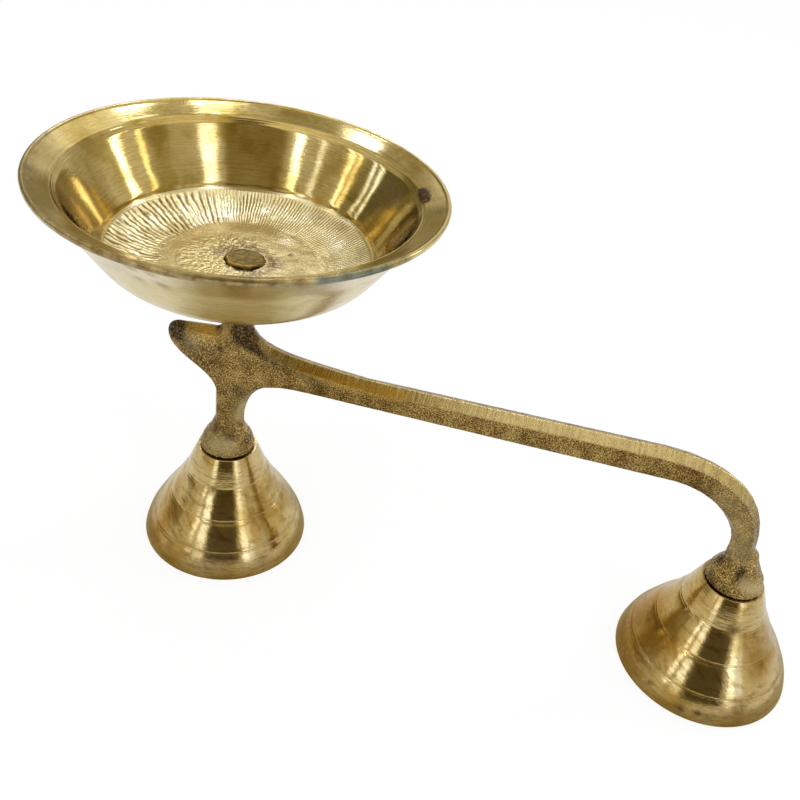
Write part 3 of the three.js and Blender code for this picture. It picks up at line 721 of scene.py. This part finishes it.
# The bowl is one brass dish, turned inside and out and polished, with a flared rim. It
# leans a little on its rivet, and its rim is slightly warped.
BOWL_X = -50.65
BOWL_SEAT = 79.0
BOWL_LEAN = (-0.013, 0.014)
BOWL_OUTSIDE = [(19.0, 79.0), (23.5, 79.35), (26.9, 80.9), (29.3, 82.6), (31.4, 85.0), (34.9, 90.0),
                (37.0, 93.0), (39.7, 96.0), (42.0, 98.3), (42.9, 99.1)]
BOWL_LIP = [(43.55, 99.2), (44.05, 99.6), (44.2, 100.15), (44.08, 100.6), (43.7, 100.85),
            (43.3, 100.74), (43.05, 100.5)]
BOWL_FLARE = [(42.9, 100.42), (41.5, 99.8), (38.7, 98.45)]
RING_LINES = [(38.5, 98.28), (38.35, 98.08), (38.15, 98.2), (37.9, 98.0), (37.62, 97.66),
              (37.45, 97.55)]
BOWL_WALL = [(37.2, 97.2), (34.2, 92.5), (31.6, 88.4), (29.75, 85.6)]
WALL_COVE = [(29.62, 85.32), (29.5, 85.05), (29.3, 84.68), (29.05, 84.3)]
DISH_EDGE = 28.9
DISH_FLAT = 18.6
BOWL_FLOOR = 80.5
DISH_RISE = 3.5
CHATTER_COUNT = 210
CHATTER_HEIGHT = 0.08
BOWL_BORE = 2.3
WALL_STEPS = 840
FLOOR_RING = 0.36
BOWL_SHARP = math.radians(50)
WARP_WIDE = 0.8
# Each warp of the rim: which way it lies, how far it rises and how far it spreads, in mm.
WARP_LEFT = (math.radians(150), 0.45, 0.22)
WARP_RIGHT = (math.radians(50), -0.30, -0.22)


def dish_height(r):
    """The dished floor between its flat middle and the foot of the wall."""
    t = min(max((r - DISH_FLAT) / (DISH_EDGE - DISH_FLAT), 0), 1)
    return BOWL_FLOOR + DISH_RISE * (0.35 * t + 0.65 * t * t)


def wall_shape(a, r, z):
    """The lathe and the polishing leave the wall a few hundredths out of true."""
    p = Vector((math.cos(a) * r, math.sin(a) * r, z))
    out = 0.045 * noise.noise(p / 9) + 0.015 * noise.noise(p / 3.5)
    up = 0
    grow = min(1, max(0, (r - 30) / 14)) ** 2
    for way, lift, spread in (WARP_LEFT, WARP_RIGHT):
        off = (a - way + math.pi) % (2 * math.pi) - math.pi
        near = math.exp(-(off / WARP_WIDE) ** 2) * grow
        up += lift * near
        out += spread * near
    return r + out, z + up, 0


def dish_shape(a, r, z):
    """Chatter ridges that run outward, crooked at the left and even at the right."""
    p = Vector((math.cos(a) * r, math.sin(a) * r, 0))
    leftness = 0.5 - 0.5 * math.cos(a - 0.3)
    wander = (1.0 + 3.4 * leftness) * noise.noise(p / 5.0)
    wander += (0.5 + 1.8 * leftness) * noise.noise(p / 1.6)
    skew = leftness * 0.5 * (r - 24)
    size = 0.75 + 0.9 * noise.noise(p / 5 + Vector((3, 8, 2)))
    size += (0.3 + 0.6 * leftness) * noise.noise(p / 1.1) + 0.4 * leftness * noise.noise(p / 0.6)
    start = 2.6 * noise.noise(p / 1.3 + Vector((5, 5, 5)))
    fade = min(1, max(0, r - DISH_FLAT + start + 0.8)) * min(1, max(0, (DISH_EDGE - r) / 0.5))
    phase = CHATTER_COUNT * a + wander + skew
    coarse = min(1, max(0, (leftness - 0.55) / 0.3))
    ridge = (1 - coarse) * (math.sin(phase) + 0.35 * math.sin(2 * phase + 1.3 + wander))
    ridge += coarse * 1.7 * (math.sin(phase / 2 + 0.5 * wander) + 0.3 * math.sin(phase + 1.3))
    size = max(size, 0.2)
    z += CHATTER_HEIGHT * size * fade * ridge + 0.02 * noise.noise(p / 2.5)
    return r, z, 0.75 * fade * max(0, -ridge) * size


def floor_shape(a, r, z):
    """The smooth middle, crumpled round the rivet where the hammer fell."""
    p = Vector((math.cos(a) * r, math.sin(a) * r, 0))
    near = min(1, max(0, (12.0 - 2.5 * math.cos(a) - r) / 3.5)) * (0.75 - 0.35 * math.cos(a))
    crumple = 0.26 * (abs(noise.noise(p / 1.3)) + 0.5 * noise.noise(p / 0.5))
    return r, z + 0.07 * noise.noise(p / 4) + 0.02 * noise.noise(p / 1.5) + near * crumple, 0


outer = [(BOWL_BORE, BOWL_SEAT), (10.0, BOWL_SEAT)] + through(BOWL_OUTSIDE, 6)[:-1]
outer += through([BOWL_OUTSIDE[-1]] + BOWL_LIP, 3)
outside_rings = len(outer) - 4
outer += through(BOWL_FLARE, 8) + RING_LINES + through(BOWL_WALL, 10) + WALL_COVE
ridged = [(r, dish_height(r)) for r in np.arange(DISH_EDGE, DISH_FLAT - 1.4, -FLOOR_RING)]
middle = np.arange(ridged[-1][0] - FLOOR_RING, BOWL_BORE + 0.1, -FLOOR_RING)
middle = [(r, BOWL_FLOOR) for r in middle] + [(BOWL_BORE, BOWL_FLOOR)]
points = []
hollows = []
faces = []
starts = []
for rings, steps, shape in ((outer, WALL_STEPS, wall_shape), (ridged, 2 * WALL_STEPS, dish_shape),
                            (middle, WALL_STEPS, floor_shape)):
    for r, z in rings:
        starts.append((steps, len(points)))
        for i in range(steps):
            a = 2 * math.pi * i / steps
            rr, zz, low = shape(a, r, z)
            points.append((rr * math.cos(a) * MM, rr * math.sin(a) * MM, (zz - BOWL_SEAT) * MM))
            hollows.append(low)
for (na, a0), (nb, b0) in zip(starts, starts[1:] + [starts[0]]):
    for i in range(min(na, nb)):
        j = (i + 1) % min(na, nb)
        if na == nb:
            faces.append((a0 + i, a0 + j, b0 + j, b0 + i))
        elif nb > na:
            faces.append((a0 + i, b0 + 2 * i + 1, b0 + 2 * i))
            faces.append((a0 + i, a0 + j, b0 + 2 * i + 1))
            faces.append((a0 + j, b0 + 2 * j, b0 + 2 * i + 1))
        else:
            faces.append((a0 + 2 * i, a0 + 2 * i + 1, b0 + i))
            faces.append((a0 + 2 * i + 1, b0 + j, b0 + i))
            faces.append((a0 + 2 * i + 1, a0 + 2 * j, b0 + j))
dish = solid("censer_bowl", points, faces)
dish.location = (BOWL_X * MM, 0, BOWL_SEAT * MM)
bowl_brass, tree, shader = surface("turned brass, polished wall")
brass_look(tree, shader, line_gap=0.6, tones=(BRASS_GOLD, BRASS_PALE, BRASS_TARNISH, BRASS_BROWN),
           rough=(0.06, 0.12), bump_deep=0.010, brushed=0.45, lean=BOWL_LEAN)
dish.data.materials.append(bowl_brass)

# The floor is scraped rather than polished, so it is paler and dull, and darker in the hollows between
# the ridges. Its scratches are drawn 0.5 mm apart.
FLOOR_PALE = "E0D6B0"
FLOOR_GOLD = "CABA88"
FLOOR_HOLLOW = "735B2C"
FLOOR_HALO = "98866A"
FLOOR_HIGHLIGHT_TONE = "F6EED4"
FLOOR_CLOUD = 6
FLOOR_SPECK = 0.6
FLOOR_LINES = 0.5
FLOOR_DEEP = 0.02

floor_brass, tree, shader = surface("turned brass, scraped floor")
place = add(tree, "TexCoord").outputs["Object"]
flat = add(tree, "VectorMath", {"operation": "MULTIPLY"}, {0: place, 1: (1, 1, 0)})
radius = add(tree, "VectorMath", {"operation": "LENGTH"}, {0: flat.outputs[0]}).outputs["Value"]
cloud = add(tree, "TexNoise", None,
            {"Vector": place, "Scale": 1 / (FLOOR_CLOUD * MM), "Detail": 5, "Roughness": 0.65})
speck = add(tree, "TexNoise", None,
            {"Vector": place, "Scale": 1 / (FLOOR_SPECK * MM), "Detail": 3, "Roughness": 0.7})
lines = add(tree, "TexNoise", {"noise_dimensions": "1D"},
            {"W": radius, "Scale": 1 / (FLOOR_LINES * MM), "Detail": 3, "Roughness": 0.7})
ring = add(tree, "Math", {"operation": "MULTIPLY_ADD"},
           {0: speck.outputs["Fac"], 1: 1.6 * MM, 2: radius})
ring = add(tree, "MapRange", None, {"Value": ring.outputs[0], "From Min": (DISH_FLAT - 1.5) * MM,
                                    "From Max": (DISH_FLAT + 5.5) * MM})
noted = add(tree, "Attribute", {"attribute_name": "wear"})
wear = add(tree, "SeparateColor", None, {0: noted.outputs["Color"]})
cloudy = add(tree, "MapRange", None,
             {"Value": cloud.outputs["Fac"], "From Min": 0.45, "From Max": 0.7, "To Max": 0.5})
lined = add(tree, "MapRange", None,
            {"Value": lines.outputs["Fac"], "From Min": 0.55, "From Max": 0.75, "To Max": 0.3})
# The wear's alpha carries the floor's painted highlights.
colour = linear(FLOOR_GOLD)
for amount, tone in ((ring.outputs[0], FLOOR_PALE), (cloudy.outputs[0], FLOOR_GOLD),
                     (lined.outputs[0], FLOOR_HOLLOW), (noted.outputs["Alpha"], FLOOR_HIGHLIGHT_TONE)):
    mixed = add(tree, "Mix", {"data_type": "RGBA"}, {0: amount, 6: colour, 7: linear(tone)})
    colour = mixed.outputs[2]
ragged = add(tree, "MapRange", None, {"Value": speck.outputs["Fac"], "From Min": 0.35, "From Max": 0.65,
                                      "To Min": 0.4, "To Max": 1.4})
for channel, tone in ((2, FLOOR_HALO), (1, BRASS_ORANGE), (0, FLOOR_HOLLOW)):
    amount = add(tree, "Math", {"operation": "MULTIPLY", "use_clamp": True},
                 {0: wear.outputs[channel], 1: ragged.outputs[0]})
    mixed = add(tree, "Mix", {"data_type": "RGBA"},
                {0: amount.outputs[0], 6: mixed.outputs[2], 7: linear(tone)})
tree.links.new(mixed.outputs[2], shader.inputs["Base Color"])
shader.inputs["Metallic"].default_value = 1.0
dull = add(tree, "MapRange", None, {"Value": ring.outputs[0], "To Min": 0.27, "To Max": 0.21})
tree.links.new(dull.outputs[0], shader.inputs["Roughness"])
height = add(tree, "Math", {"operation": "MULTIPLY_ADD"},
             {0: speck.outputs["Fac"], 1: 1.2, 2: lines.outputs["Fac"]})
bump = add(tree, "Bump", None,
           {"Height": height.outputs[0], "Strength": 1.0, "Distance": FLOOR_DEEP * MM})
tree.links.new(bump.outputs[0], shader.inputs["Normal"])
dish.data.materials.append(floor_brass)

# Outside, the bowl was brushed with a coarse cloth along its lathe lines, so it is softer
# and paler than inside, and its lip is dulled and browned by hands and heat.
BRUSHED_PALE = "D6C896"

brushed_brass, tree, shader = surface("turned brass, brushed outside")
brass_look(tree, shader, line_gap=0.6, tones=(BRASS_PALE, BRUSHED_PALE, BRASS_GOLD, BRASS_BROWN),
           rough=(0.16, 0.24), bump_deep=0.012, brushed=0.8, lean=BOWL_LEAN)
dish.data.materials.append(brushed_brass)

# The rings run from under the bowl round its lip to the rivet hole, so the brushed outside
# comes first, the polished wall next, the scraped floor after it and the bore's wall last.
slots = np.zeros(len(dish.data.polygons), dtype=int)
slots[:outside_rings * WALL_STEPS] = 2
slots[(len(outer) - 2) * WALL_STEPS:] = 1
slots[-WALL_STEPS:] = 0
dish.data.polygons.foreach_set("material_index", slots)
dish.data.set_sharp_from_angle(angle=BOWL_SHARP)

# Marks on the bowl: soot spots on the right flare, a browned lip with green at its right, an orange spot
# at the back foot of the wall, a grey halo with a dark arc beside the rivet, pale patches on the left
# wall that are painted reflections, and bright patches on the floor that are painted highlights.
LIP_R = 44.0
HALO_R = 6.2

BOWL_STAINS = [
    (-16.2, 18.4, 98.7, 0.8, 3.0), (-15.4, 16.8, 98.7, 0.9, 5.0), (-14.8, 15.2, 98.7, 0.9, 5.0),
    (-14.3, 13.8, 98.7, 0.8, 4.0), (-9.9, 7.4, 99.9, 2.0, 0.5), (-88.6, -19.0, 99.9, 1.8, 0.4),
    (-85.6, -22.5, 99.7, 1.8, 0.35), (-24.5, 25.5, 94.5, 1.8, 0.5), (-22.3, 21.5, 94.0, 1.8, 0.5),
    (-41.7, 8.2, 80.5, 0.5, 1.3), (-40.8, 24.7, 83.3, 0.5, 1.2), (-74.5, 8.5, 82.9, 0.45, 1.2),
    (-46.0, 4.8, 80.5, 0.6, 1.0), (-45.0, 4.3, 80.5, 0.6, 1.0), (-44.2, 3.4, 80.5, 0.6, 1.0),
    (-43.7, 2.4, 80.5, 0.6, 1.0), (-43.5, 1.3, 80.5, 0.6, 0.9),
    (-40.0, 8.5, 80.5, 4.0, 0.30), (-38.0, 1.5, 80.5, 4.0, 0.30), (-55.5, -40.3, 97.0, 1.2, 0.35),
    (-51.5, -40.5, 97.0, 1.2, 0.35), (-51.0, -36.9, 93.2, 1.4, 0.35), (-56.0, -36.0, 93.0, 1.2, 0.3),
]
# The front of the lip is browned, most at the left.
for degrees in range(-175, -20, 6):
    a = math.radians(degrees)
    left = 0.36 + 0.10 * math.sin(3 * a) if degrees < -110 else 0.50
    BOWL_STAINS.append((BOWL_X + LIP_R * math.cos(a), LIP_R * math.sin(a), 100.2, 2.2, left))
BOWL_GLOWS = [(BOWL_X + LIP_R * math.cos(a), LIP_R * math.sin(a), 100.2, 2.2, 0.3)
              for a in np.radians(np.arange(-115, -50, 6))]
BOWL_GLOWS += [(-42.6, 28.6, 85.2, 1.2, 0.9), (-20.0, 17.0, 91.0, 1.6, 0.5),
               (-41.0, 26.5, 83.6, 2.0, 0.4)]
BOWL_PALE_AND_REFLECTIONS = []
for a in np.arange(-0.9, 3.3, 0.22):
    spot = (BOWL_X + 0.85 + HALO_R * math.cos(a), 0.85 + HALO_R * math.sin(a), BOWL_FLOOR, 1.5)
    BOWL_PALE_AND_REFLECTIONS.append((*spot, 0.5 + 0.2 * math.sin(5 * a)))
# The first three are painted reflections on the left wall, of the far wall's bright streaks; the rest are
# pale marks near the rivet and on the rim.
BOWL_PALE_AND_REFLECTIONS += [
    (-82.3, -8.8, 90.1, 5.0, 1.0), (-84.3, -10.8, 93.9, 3.0, 0.4), (-80.3, -8.7, 87.1, 2.4, 0.9),
    (-42.6, 1.6, 80.5, 1.6, 0.9), (-43.6, 4.0, 80.5, 1.4, 0.7), (-8.0, 5.0, 100.6, 1.4, 0.5),
]
LIP_GREENS = [(BOWL_X + (LIP_R - 0.1) * math.cos(a), (LIP_R - 0.1) * math.sin(a), 99.9, 1.1, 0.5)
              for a in np.radians(range(-50, -30, 2))]
# The floor's brass takes the green channel as painted highlights, bright patches where the lamps shine
# back from the floor, since no green reaches it.
FLOOR_HIGHLIGHT_MARKS = [
    (-64.1, 14.6, 80.7, 3.4, 0.9), (-60.0, 12.0, 80.6, 2.4, 0.5), (-66.0, 10.5, 80.6, 2.2, 0.6),
    (-60.8, 18.6, 81.1, 3.0, 0.7), (-46.4, 17.2, 80.6, 1.6, 0.9), (-45.0, 14.6, 80.6, 1.5, 0.9),
    (-43.8, 12.8, 80.6, 1.3, 0.7), (-55.0, 20.0, 81.0, 2.4, 0.4),
]
marked(dish, BOWL_STAINS, BOWL_GLOWS, BOWL_PALE_AND_REFLECTIONS, LIP_GREENS + FLOOR_HIGHLIGHT_MARKS)
# The hollows between the floor's ridges are made darker by their depth.
tones = np.empty(len(points) * 4)
paint = dish.data.color_attributes["wear"]
paint.data.foreach_get("color", tones)
tones = tones.reshape(-1, 4)
tones[:, 0] = np.clip(tones[:, 0] + np.array(hollows), 0, 1)
paint.data.foreach_set("color", tones.ravel())
dish.data.transform(Euler((BOWL_LEAN[0], BOWL_LEAN[1], 0)).to_matrix().to_4x4())
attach(dish, "root")
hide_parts("bowl")

# The bowl's rivet is the end of a brass stud, hammered down over the floor. It is dull on
# top, with a raised ragged lip in front and split edges at the side.
RIVET_R = 4.7
RIVET_TALL = 0.75
RIVET_PLACE = (0.85, 0.85)
RIVET_STEPS = 240
RIVET_RINGS = 50
RIVET_RAGGED = 0.40
RIVET_SPLITS = (12, 38, 342)
SPLIT_DEEP = 0.5
RIVET_LIP_WAY = -105
RIVET_LIP_TALL = 0.36
RIVET_LIP_AT = 0.84
RIVET_SINK = 0.06

points = []
faces = []
for k in range(1, RIVET_RINGS):
    t = k / (RIVET_RINGS - 1)
    for i in range(RIVET_STEPS):
        a = 2 * math.pi * i / RIVET_STEPS
        q = Vector((math.cos(a) * 2.2, math.sin(a) * 2.2, 4.0))
        split = sum(math.exp(-((a - math.radians(s)) / 0.05) ** 2) for s in RIVET_SPLITS)
        edge = RIVET_R + RIVET_RAGGED * noise.noise(q) + 0.12 * noise.noise(q * 3) - SPLIT_DEEP * split
        r = edge * t
        p = Vector((r * math.cos(a), r * math.sin(a), 0))
        dome = RIVET_TALL * (1 - max(0, (t - 0.74) / 0.26) ** 2.2) - 0.22 * (1 - t)
        rough = 0.14 * noise.noise(p / 1.3) + 0.07 * noise.noise(p / 0.45)
        front = max(0, math.cos(a - math.radians(RIVET_LIP_WAY)))
        lip = RIVET_LIP_TALL * front ** 0.5 * math.exp(-((t - RIVET_LIP_AT) / 0.08) ** 2)
        lip *= 0.8 + 0.8 * noise.noise(q * 2)
        z = BOWL_FLOOR - RIVET_SINK + dome + (rough + lip) * (1 if t < 0.97 else 0.3)
        points.append((p.x * MM, p.y * MM, (z - BOWL_SEAT) * MM))
for k in range(RIVET_RINGS - 2):
    for i in range(RIVET_STEPS):
        j = (i + 1) % RIVET_STEPS
        a0, b0 = k * RIVET_STEPS, (k + 1) * RIVET_STEPS
        faces.append((a0 + i, b0 + i, b0 + j, a0 + j))
faces.append(tuple(range(RIVET_STEPS)))
last = (RIVET_RINGS - 2) * RIVET_STEPS
faces.append(tuple(last + i for i in reversed(range(RIVET_STEPS))))
rivet = solid("peened_rivet", points, faces)
rivet.data.transform(Euler((BOWL_LEAN[0], BOWL_LEAN[1], 0)).to_matrix().to_4x4())
rivet.location = ((BOWL_X + RIVET_PLACE[0]) * MM, RIVET_PLACE[1] * MM, BOWL_SEAT * MM)

# Painted shade lies round the rivet's front edge, where it meets the floor, and its lip glows orange
# above.
edge_shade = []
glowing = []
for degrees in range(-176, -10, 4):
    a = math.radians(degrees)
    x, y = RIVET_R * 0.97 * math.cos(a), RIVET_R * 0.97 * math.sin(a)
    cx, cy = BOWL_X + RIVET_PLACE[0], RIVET_PLACE[1]
    edge_shade.append((cx + x, cy + y, BOWL_FLOOR + 0.1, 0.5, 0.45 + 0.25 * math.sin(7 * a)))
    glowing.append((cx + 0.84 * x, cy + 0.84 * y, BOWL_FLOOR + 1.1, 0.5, 0.3))
marked(rivet, edge_shade, glowing[2:-6])
rivet.data.materials.append(peened_brass)
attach(rivet, "root")
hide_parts("bowl_rivet")
